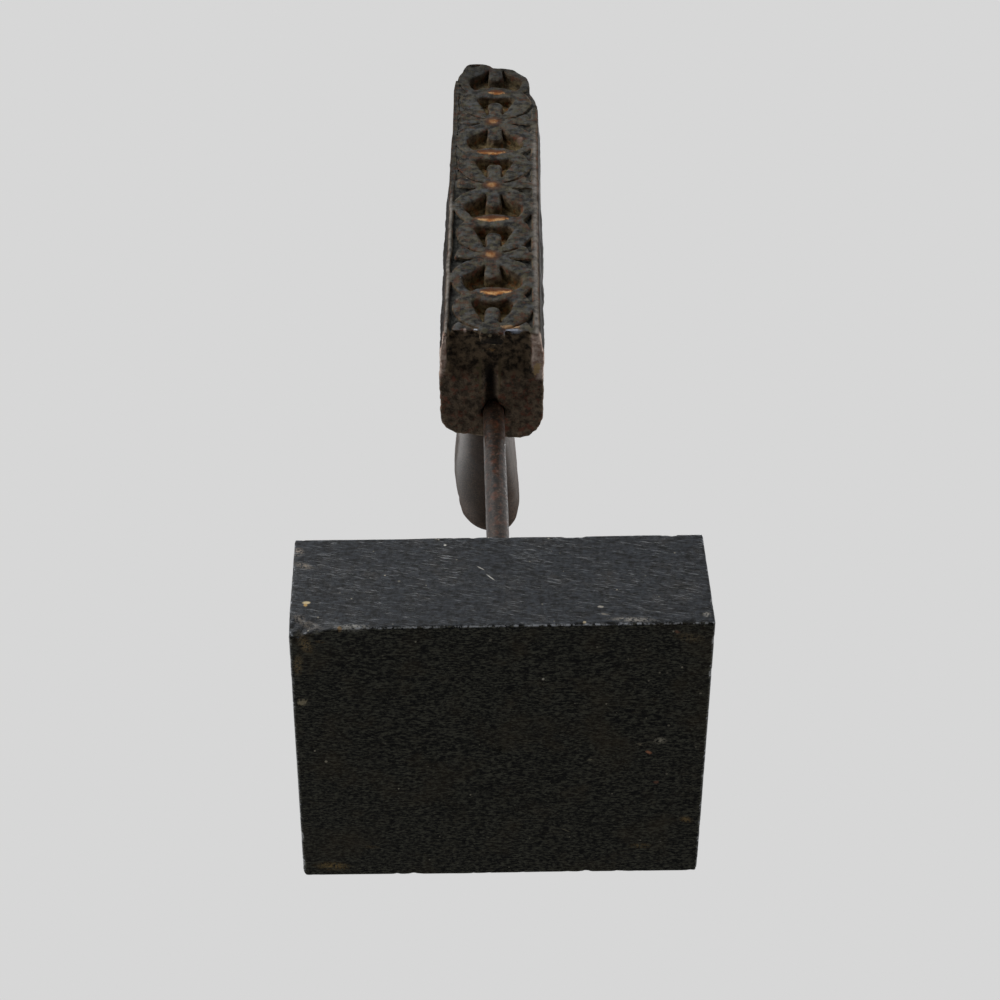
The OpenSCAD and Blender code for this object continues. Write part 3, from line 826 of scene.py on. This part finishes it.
def wear_back(points, draw_in, swell, slant):
    """Draws the sides in towards the back, which swells a little at the lower end and slants."""
    near_back = smooth_step(BACK_FROM, BACK, points[:, 1])
    low_end = smooth_step(*SWELL_ALONG, points[:, 2])
    points[:, 1] += near_back * low_end * (swell + slant * points[:, 0] / SIDE)
    points[:, 0] *= 1 - draw_in / SIDE * near_back ** 2


def clear_bore(mesh):
    """Keeps the hole clear of the rod, which stands upright in the frame."""
    points = points_of(mesh) / MM
    away = points[:, :2] - (ROD_X, 0)
    radius = np.hypot(away[:, 0], away[:, 1])
    tight = (radius < BORE_R) & (points[:, 2] < BORE_TOP)
    points[tight, :2] = (ROD_X, 0) + away[tight] * (BORE_R / radius[tight])[:, None]
    move_points(mesh, points * MM)


print("high on the left rail:", rubbed_flush(np.array([[-SIDE, FACE, 150]])))

# %% Carved block: the worn copy
block = worked_copy("block_body", "carved_block", 0.56, {
    "Rounding passes": 2, "Wander": 2.0 * MM, "Wander size": 14 * MM, "Wear": 0.25, "Wear passes": 12,
    "Tool marks": 1.3 * MM, "Tool mark size": (2.6 * MM, 2.6 * MM, 4.5 * MM), "Chips": 0.4 * MM,
    "Chip size": 4 * MM, "Seed": 11.0}, keep=0.42, place=block_place)
block_points = points_of(block.data) / MM
spread_walls(block_points, np.array([v.normal for v in block.data.vertices]), slope=0.10)
taper_openings(block_points)
slope_edges(block_points, left=1.5, right=2.0)
wear_top(block_points)
height = 1 - (block_points[:, 1] - FACE) / CARVE_DEPTH
in_rings = in_openings(block_points)
clog_gaps(block_points, low_end=(0.75, 0.26), high_end=(0.6, 0.12))
wear_back(block_points, draw_in=0.6, swell=0.6, slant=1.6)
move_points(block.data, block_points * MM)

# %% [markdown]
# ## Where the block is worn, shaded and lit
# Hands and cloth rub a block where it stands proud, and dye settles where it is deep. The same numbers
# also place painted shade in the gaps, on the sloped edges and at the top end, and painted highlights on
# the rails. These places could be painted by eye. Here they are worked out from the measures of the border
# and kept as a number on every point, so that they stay with the carving and the finish can read them.

# %% Carved block: tops, ground and gaps
directions = np.array([v.normal for v in block.data.vertices])
across, depth, along_block = block_points[:, 0], block_points[:, 1] - FACE, block_points[:, 2]
top = smooth_step(0.74, 0.92, height) * smooth_step(0.2, 0.75, -directions[:, 1])
ground = smooth_step(0.8, 0.3, height) * smooth_step(-0.25, -0.05, height)
ground *= smooth_step(17.4, 16.4, np.abs(across))
gaps = ground * (1 - in_rings)
# Higher up the gaps are so full that they look like the tops
flush = rubbed_flush(block_points)
top = np.maximum(top, (0.65 + 0.35 * flush) * gaps * smooth_step(85, 125, along_block))
# Painted shade on the sloped long edges of the printing face
flank = smooth_step(16.8, 17.6, np.abs(across)) * smooth_step(0.3, 1.2, depth)
flank *= smooth_step(16, 10, depth)
print(int((ground > 0.5).sum()), "points on the ground, in gaps", int((gaps > 0.5).sum()))

# %% Carved block: rubbed arcs and rails
LEFT_LINE = -17.1
RIGHT_LINE = 16.4
# Each rubbed arc: its middle across and along its motif, its half length and how far it is rubbed
rubbed_arcs = [
    (1.0, 27.0, 7.6, 1.0), (-0.7, 27.1, 7.6, 0.9), (-1.6, 26.5, 7.0, 0.75), (0.2, 25.6, 4.2, 0.75)]

# Each hub but the lowest has a rubbed spot
to_hub = (along_block + MOTIF_PITCH / 2) % MOTIF_PITCH - MOTIF_PITCH / 2
from_spot = ((across + 0.9) / 2.4) ** 2 + ((to_hub - 0.6) / 2.5) ** 2
rubbed = 0.6 * np.exp(-from_spot ** 1.5) * (along_block > MOTIF_PITCH / 2)
# Where two rings cross there is an arc like a smile, bright at its near edge and brown behind
rusty = np.exp(-from_spot / 3) * (along_block > MOTIF_PITCH / 2)
for motif, (middle, place_along, half_length, strength) in enumerate(rubbed_arcs):
    share = (across - middle) / half_length
    behind = along_block - motif * MOTIF_PITCH - place_along - 1.6 * share ** 2
    thick = np.clip(1 - share ** 2, 0, 1)
    span = smooth_step(0, 0.4, thick)
    near_edge = -1.5 * thick - 0.3
    bright = smooth_step(near_edge, -0.4 * thick, behind) * smooth_step(2.2 * thick + 0.1, 0, behind)
    brown = smooth_step(near_edge, 0.1, behind) * smooth_step(5.2 * thick + 0.1, 2 * thick, behind)
    rubbed = np.maximum(rubbed, strength * span * bright)
    rusty = np.maximum(rusty, span * brown)
rubbed *= smooth_step(0.5, 0.8, height)
rusty *= smooth_step(0.4, 0.8, height)

# Painted highlights: a pale line lies along each rail, the left one on the lower half and the right one
# higher up
left_line = np.exp(-((across - LEFT_LINE) / 0.7) ** 2) * smooth_step(104, 92, along_block)
right_line = np.exp(-((across - RIGHT_LINE) / 0.8) ** 2) * smooth_step(168, 140, along_block)
rail_highlight = np.maximum(left_line, right_line) * smooth_step(0.6, 0.85, height)
print(len(rubbed_arcs), "rubbed arcs")

# %% Carved block: the lower end
HOLLOW_H = 20.0
HOLLOW_LEFT = -16.6
HOLLOW_RIGHT = 14.4

# The lower end: a dark hollow between two strips of bare wood that run out to a point
on_end = smooth_step(2.5, 0.8, along_block)
taper = 0.25 * np.clip(depth - 0.7 * HOLLOW_H, 0, None)
past_hollow = np.maximum(HOLLOW_LEFT - across, across - HOLLOW_RIGHT) - taper
bare = on_end * smooth_step(-0.1, 0.5, past_hollow) * smooth_step(HOLLOW_H + 1.5, HOLLOW_H - 1, depth)
bare *= smooth_step(0.4, 1.2, depth)
hollow = smooth_step(5.0, 3.5, along_block) * smooth_step(0.5, -0.3, past_hollow)
hollow *= smooth_step(HOLLOW_H + 2, HOLLOW_H - 5, depth) * smooth_step(0.5, 1.2, depth)
# The carved part and the lower end are mottled, the sides and the back show long grain
carved = smooth_step(14, 11, depth) * smooth_step(18.2, 17.2, np.abs(across))
mottled = np.maximum(on_end, carved)
# Painted shade darkens the top end, where the light falls off, and the rubbed left rail is darker too
darkened_places = np.maximum(smooth_step(176, 206, along_block), flush * smooth_step(-15, -17, across))
worn_places = {
    "darkened_places": darkened_places, "gaps": gaps, "flank": flank, "top": top, "ground": ground, "hollow": hollow,
    "rubbed": rubbed, "rusty": rusty, "rail_highlight": rail_highlight, "bare": bare, "mottled": mottled}
for name, mask in worn_places.items():
    store(block.data, name, mask)
    print(name, "covers", int((mask > 0.5).sum()), "points")

# %% Carved block: marks
# Place in mm in the block's frame, turn about Y and Z in degrees, half sizes in mm, raggedness, colour
block_marks = [
    # Painted shade over the foot under the lowest hub, on the lower end
    ((0.4, -30.5, 0.0), (0, 0), (5.2, 6.5, 4), 0.6, "#17130F"),
    ((10.2, -35.0, 148.0), (0, 0), (1.5, 3, 1.4), 0.8, "#8A7468"),
    ((11.6, -35.0, 156.4), (0, 0), (0.8, 3, 0.9), 0.8, "#6E6A50"),
    ((-3.9, -33.0, 36.0), (0, 0), (0.6, 4, 0.8), 0.4, "#9A8A7A"),
    ((-5.7, -35.0, 20.2), (0, 0), (1.0, 3, 1.0), 0.8, "#8F735C"),
    ((-12.2, -35.0, 23.6), (30, 0), (1.6, 3, 0.7), 1.0, "#8C8884"),
    # Painted highlights: two bluish-white glints on the lower edges of the petals
    ((-6.0, -34.8, 1.2), (0, 0), (1.0, 1.6, 2.4), 0.3, "#D8DCE6"),
    ((7.7, -34.8, 1.2), (0, 0), (4.2, 1.5, 2.2), 0.3, "#B8C0D0"),
    ((6.9, -35.4, 4.0), (0, 0), (4.0, 1.5, 1.3), 0.6, "#BE9870"),
    ((-9.9, -34.8, 1.2), (0, 0), (0.8, 1.6, 2.2), 0.3, "#C8B2A6"),
    ((16.6, -20.3, 0.0), (0, 10), (1.5, 3.4, 3), 0.8, "#C0A274"),
    # Painted shade down the groove in the lower end, between two lines of painted highlight on its edges
    ((-0.9, -16.5, 0.0), (0, 0), (2.4, 9.5, 5), 0.4, "#15110D"),
    ((-4.3, -17.0, 0.0), (0, 0), (0.7, 9.5, 5), 0.5, "#6C6048"),
    ((2.9, -17.5, 0.0), (0, 0), (0.7, 9.0, 5), 0.5, "#64563E"),
    ((0.8, -28.9, 0.0), (0, 0), (1.6, 1.0, 5), 0.8, "#A8997A"),
    ((-0.3, -26.3, 0.0), (0, 0), (1.8, 0.9, 5), 0.8, "#A67F50"),
    ((-3.4, -25.8, 0.0), (0, 0), (0.9, 0.9, 5), 0.6, "#857A64"),
    ((-0.7, -34.6, 0.0), (0, 0), (0.8, 0.8, 3), 0.6, "#94866E"),
    ((-12.8, -15.1, 0.0), (0, 0), (0.7, 0.6, 4), 1.0, "#5C5A38"),
    ((-5.2, -19.2, 0.0), (0, 0), (0.6, 0.6, 4), 0.8, "#5C5A38"),
    ((-5.8, -14.8, 0.0), (0, 0), (0.5, 0.5, 4), 0.8, "#55532F"),
]
print(len(block_marks), "marks on the block")

# %% [markdown]
# ## The finish of the block
# Close-grained wood has soaked up dye for years: it is dark where dye settled, grey-brown on the
# tops and orange where it is rubbed through. Painted shade makes the gaps, the sloped edges and the top end
# near black, and painted highlights lie on the rails, the arrises and a few edges. The finish is built up
# in the same order, coat over coat, and each coat shows as far as a pattern or a worn place lets it.

# %% Carved block: patterns
def carved_patterns(tree, place):
    """How far each coat of the carved wood shows, by name."""
    noises = stretched_noises(tree, (
        ("fibre", place, 0, (0.7, 0.7, 9), 4.0, 0.6, 0),
        ("blotch", place, 0, (7, 7, 7), 5.0, 0.65, 0),
        ("mottle", place, 0, (2.8, 2.8, 2.8), 4.0, 0.62, 0),
        ("grit", place, 0, (0.9, 0.9, 0.9), 3.0, 0.7, 0)))
    # Three patterns out of one noise: light and dark, olive, red
    parts = add_node(tree, AXES, {"Vector": noises["mottle"].node.outputs["Color"]}).node.outputs
    masks = {}
    for name in (*worn_places, "arris"):
        masks[name] = add_node(tree, "ShaderNodeAttribute", out="Fac", attribute_name=name)

    # Sharp arrises hold pale flecks, and the rubbed places are broken up
    broken = {}
    for name, value, share, added in (
            ("fleck", masks["arris"], 0.5, noises["grit"]),
            ("brown", parts["Y"], 0.6, masks["rusty"]),
            ("orange", parts["Z"], 0.5, masks["rubbed"])):
        broken[name] = add_node(tree, MATH, {0: value, 1: share, 2: added}, operation="MULTIPLY_ADD")
    # How far each thing shows: what it is read from, where it starts and ends, its least and its most
    shows = dict(masks)
    for name, value, start, end, least, most in (
            ("patch", noises["blotch"], 0.4, 0.62, 0, 1),
            ("dusty", noises["blotch"], 0.4, 0.62, 0, 0.45),
            ("speckle", parts["X"], 0.40, 0.60, 0, 1),
            ("lined", parts["X"], 0.40, 0.60, 0.35, 1),
            ("olive", parts["Y"], 0.50, 0.62, 0, 0.7),
            ("red", parts["Z"], 0.53, 0.65, 0, 0.7),
            ("grain", noises["fibre"], 0.35, 0.68, 0, 1),
            ("shaded", masks["flank"], 0, 1, 0, 0.75),
            ("darkening", masks["darkened_places"], 0, 1, 0, 0.45),
            # Sharp arrises are rubbed pale, and this pale also serves as painted highlight on the edges
            ("worn", masks["arris"], 0.16, 0.45, 0, 0.6),
            ("fleck", broken["fleck"], 0.72, 0.86, 0, 1),
            ("brown", broken["brown"], 0.6, 1.3, 0, 0.85),
            ("orange", broken["orange"], 0.5, 1.2, 0, 1)):
        shows[name] = add_node(tree, RAMP, {
            "Value": value, "From Min": start, "From Max": end, "To Min": least, "To Max": most})
    speckle = shows["speckle"]
    shows["uneven"] = add_node(tree, MIX, {
        "Factor": 0.6, NUMBER_A: noises["fibre"], NUMBER_B: speckle})
    shows["rough_cut"] = add_node(tree, MATH, {0: noises["fibre"], 1: parts["X"]}, operation="ADD")
    worn = add_node(tree, MATH, {0: shows["worn"], 1: speckle}, operation="MULTIPLY")
    # The rails' painted highlight joins the pale of the worn arrises
    lined = add_node(tree, MATH, {0: masks["rail_highlight"], 1: shows["lined"]}, operation="MULTIPLY")
    shows["worn"] = add_node(tree, MATH, {0: worn, 1: lined}, operation="MAXIMUM")
    return shows


print("the finish reads", len(worn_places), "masks")


# %% Carved block: finish
def dyed_carved_hardwood():
    """Close-grained hardwood, chisel-cut and soaked with dye: grey-brown tops, dark ground, painted shade in
    the gaps.
    """
    material, tree, shader = new_material("dye_soaked_carved_hardwood")
    in_part = add_node(tree, "ShaderNodeTexCoord", out="Object")
    place = add_node(tree, MAPPING, {
        "Vector": in_part, "Location": block_place.translation, "Rotation": (0, block_lean, 0)},
        vector_type="TEXTURE")
    shows = carved_patterns(tree, place)
    coats = lay_coats(tree, shows, (
        # Long grain on the sides and the back, dark with old dye
        ("long_grain", "#1F1813", ("grain", "#4C3B2E"), ("dusty", "#3A332C")),
        # Mottled wood, with rusty red patches
        ("mixed", "#2A221B", ("uneven", "#86745F"), ("red", "#7E4836")),
        # Ground and walls, dark brown to rusty
        ("soaked", "#463B29", ("speckle", "#857553"), ("red", "#8A552C")),
        # Painted shade: the gaps between the rings are near black
        ("gap_shade", "#1F1F1D", ("speckle", "#4A4A46")),
        ("inked", "#2C241B", ("speckle", "#7E6C56")),
        # Tops, mottled grey with blue, olive and red
        ("cold", "#57595A", ("patch", "#676254")),
        ("high", "#2B2A29", ("speckle", "cold"), ("olive", "#544F3A"), ("red", "#5E4030")),
        # Orange wood along the brightest edges, and pinkish bare wood on the rails' ends
        ("warm", "#B8743A", ("speckle", "#F0BE82")),
        ("pink", "#9A7E70", ("speckle", "#D8C4B6")),
        # Over all go painted shade on the sloped edges and in the gaps, the pale of worn arrises with
        # painted highlights, and painted shade at the top end
        ("all", "long_grain", ("mottled", "mixed"), ("shaded", "#1B1918"), ("ground", "soaked"),
         ("gaps", "gap_shade"), ("hollow", "inked"), ("top", "high"), ("worn", "#98918A"),
         ("fleck", "#A8978A"), ("darkening", "#2A2927"), ("brown", "#6B3F24"), ("orange", "warm"),
         ("bare", "pink"))))
    tree.links.new(paint_marks(tree, coats["all"], place, block_marks), shader.inputs["Base Color"])

    shader.inputs["Roughness"].default_value = 0.7
    shader.inputs["Specular IOR Level"].default_value = 0.15
    bump = add_node(tree, "ShaderNodeBump", {
        "Strength": 0.7, "Distance": 0.5 * MM, "Height": shows["rough_cut"]})
    tree.links.new(bump, shader.inputs["Normal"])
    return material


block.data.materials.clear()
block.data.materials.append(dyed_carved_hardwood())
settle(block, block_place)
clear_bore(block.data)
give_finish(block, "block_body", "block")

# %% [markdown]
# ## The grip and its pegs
# The grip is polished by years of palms, so it gets many rounding passes and a smooth dark finish with
# long streaks of grain. Two pegs through the block hold its tenon, and show their end grain.

# %% Polished grip: finish
def hand_polished_wood():
    """Dense dark hardwood polished by handling: long streaks under a soft gloss."""
    material, tree, shader = new_material("hand_polished_hardwood")
    place = add_node(tree, "ShaderNodeTexCoord", out="Object")
    outward = add_node(tree, AXES, {"Vector": place}, out="Y")
    # The open pores are half a millimetre wide and 7 mm long
    noises = stretched_noises(tree, (
        ("streak", place, 0, (1.6, 1.6, 40), 5.0, 0.6, 0),
        ("patch", place, 0, (18, 18, 18), 4.0, 0.5, 0),
        ("pore", place, 0, (0.5, 0.5, 7), 3.0, 0.6, 0)))
    # Grey patches, then old dirt in the pores, and between them fine lines where the wood is rubbed paler
    colour = "#211A15"
    for name, start, end, most, over in (
            ("streak", 0, 1, 1, "#584334"),
            ("patch", 0.45, 0.7, 0.5, "#3A3631"),
            ("pore", 0.54, 0.66, 0.65, "#0F0B08"),
            ("pore", 0.44, 0.34, 0.5, "#6E5A48")):
        shows = add_node(tree, RAMP, {
            "Value": noises[name], "From Min": start, "From Max": end, "To Max": most})
        colour = add_node(tree, MIX, {"Factor": shows, UNDER: colour, OVER: over}, **COLOURS)
    tree.links.new(colour, shader.inputs["Base Color"])
    # The polish is dull towards the outer end
    dulled = add_node(tree, RAMP, {
        "Value": outward, "From Min": 30 * MM, "From Max": 72 * MM, "To Min": 0.36, "To Max": 0.62})
    uneven = add_node(tree, MATH, {0: noises["patch"], 1: 0.15, 2: dulled}, operation="MULTIPLY_ADD")
    tree.links.new(uneven, shader.inputs["Roughness"])
    shine = add_node(tree, RAMP, {
        "Value": outward, "From Min": 38 * MM, "From Max": 66 * MM, "To Min": 0.55, "To Max": 0.12})
    tree.links.new(shine, shader.inputs["Specular IOR Level"])
    bump = add_node(tree, "ShaderNodeBump", {
        "Strength": 0.25, "Distance": 0.15 * MM, "Height": noises["streak"]})
    tree.links.new(bump, shader.inputs["Normal"])
    return material


grip_wood = hand_polished_wood()
print(grip_wood.name, "has", len(grip_wood.node_tree.nodes), "nodes")

# %% Polished grip: shape
GRIP_H = 65.0
GRIP_FOOT = -3.8
GRIP_LEAN = math.radians(2.8)
# Where along the block the waist starts, is full, stays full to and ends, and how far it narrows and leans
WAIST = (26, 80, 146, 202)
WAIST_NARROWS = 0.22
WAIST_LEANS = 0.5
# How far the outer end is rounded on its left and worn all over, and how far the neck sits in its slot
LEFT_ROUND = 3.6
END_WEAR = 1.0
NECK_SUNK = 2.0
# Half widths of the grip's two flanks, at shares of its height from the block outwards
flank_places = (0, 0.2, 0.3, 0.4, 0.5, 0.6, 0.7, 0.8, 0.9)
flanks = {
    -1: (9.8, 10.4, 11.1, 12.0, 12.4, 12.5, 12.4, 12.1, 11.4),
    1: (9.6, 10.2, 10.9, 11.7, 12.2, 12.6, 12.9, 13.0, 12.0)}

grip = worked_copy("handle", "polished_grip", 0.9, {
    "Rounding passes": 14, "Wander": 2.5 * MM, "Wander size": 60 * MM, "Tool marks": 0.3 * MM,
    "Tool mark size": (6 * MM, 6 * MM, 20 * MM), "Chips": 0.0, "Chip size": 1.0, "Seed": 5.0,
    "Material": grip_wood}, place=block_place)
grip_points = points_of(grip.data) / MM
outward = np.clip((grip_points[:, 1] - BACK) / GRIP_H, 0, 1)
grip_axis = GRIP_FOOT + GRIP_H * outward * math.tan(GRIP_LEAN)
# The waist runs out towards the block, so that the neck covers the slot that it stands in
waist = smooth_step(WAIST[0], WAIST[1], grip_points[:, 2])
waist *= smooth_step(WAIST[3], WAIST[2], grip_points[:, 2])
waist *= smooth_step(0, 0.3, outward)
from_axis = grip_points[:, 0] - grip_axis
steps = np.linspace(0, flank_places[-1], 31)
for side, widths in flanks.items():
    reach = side * from_axis
    now = [reach[np.abs(outward - step) < 0.02].max() for step in steps]
    scale = np.interp(steps, flank_places, widths) / now
    on_side = reach > 0
    from_axis[on_side] *= np.interp(outward[on_side], steps, scale)
grip_points[:, 0] = grip_axis + from_axis * (1 - WAIST_NARROWS * waist) - WAIST_LEANS * waist * outward
left_end = smooth_step(0, 10, -from_axis) * smooth_step(0.72, 1.0, outward)
grip_points[:, 1] -= LEFT_ROUND * left_end + END_WEAR * smooth_step(0.8, 1.0, outward)
grip_points[:, 1] -= NECK_SUNK * smooth_step(BACK + 4, BACK + 1, grip_points[:, 1])
move_points(grip.data, grip_points * MM)
settle(grip, block_place)
give_finish(grip, "handle", "block")


# %% Pegs
def peg_end_grain():
    """Split hardwood pegs, seen end on: fine rings and open pores."""
    material, tree, shader = new_material("split_hardwood_peg")
    place = add_node(tree, "ShaderNodeTexCoord", out="Object")
    pores = add_node(tree, NOISE, {"Vector": place, "Scale": per_mm(0.8), "Detail": 3.0})
    colour = add_node(tree, MIX, {"Factor": pores, UNDER: "#2E2119", OVER: "#6B4E38"}, **COLOURS)
    tree.links.new(colour, shader.inputs["Base Color"])
    shader.inputs["Roughness"].default_value = 0.6
    bump = add_node(tree, "ShaderNodeBump", {"Strength": 0.5, "Distance": 0.2 * MM, "Height": pores})
    tree.links.new(bump, shader.inputs["Normal"])
    return material


pegs = worked_copy("handle_pegs", "grip_pegs", 0.45, {
    "Rounding passes": 2, "Wander": 0.2 * MM, "Wander size": 8 * MM, "Tool marks": 0.2 * MM,
    "Tool mark size": (6 * MM, 1.2 * MM, 1.2 * MM), "Chips": 0.0, "Chip size": 1.0, "Seed": 9.0,
    "Material": peg_end_grain()}, place=block_place)
settle(pegs, block_place)
give_finish(pegs, "handle_pegs", "block")
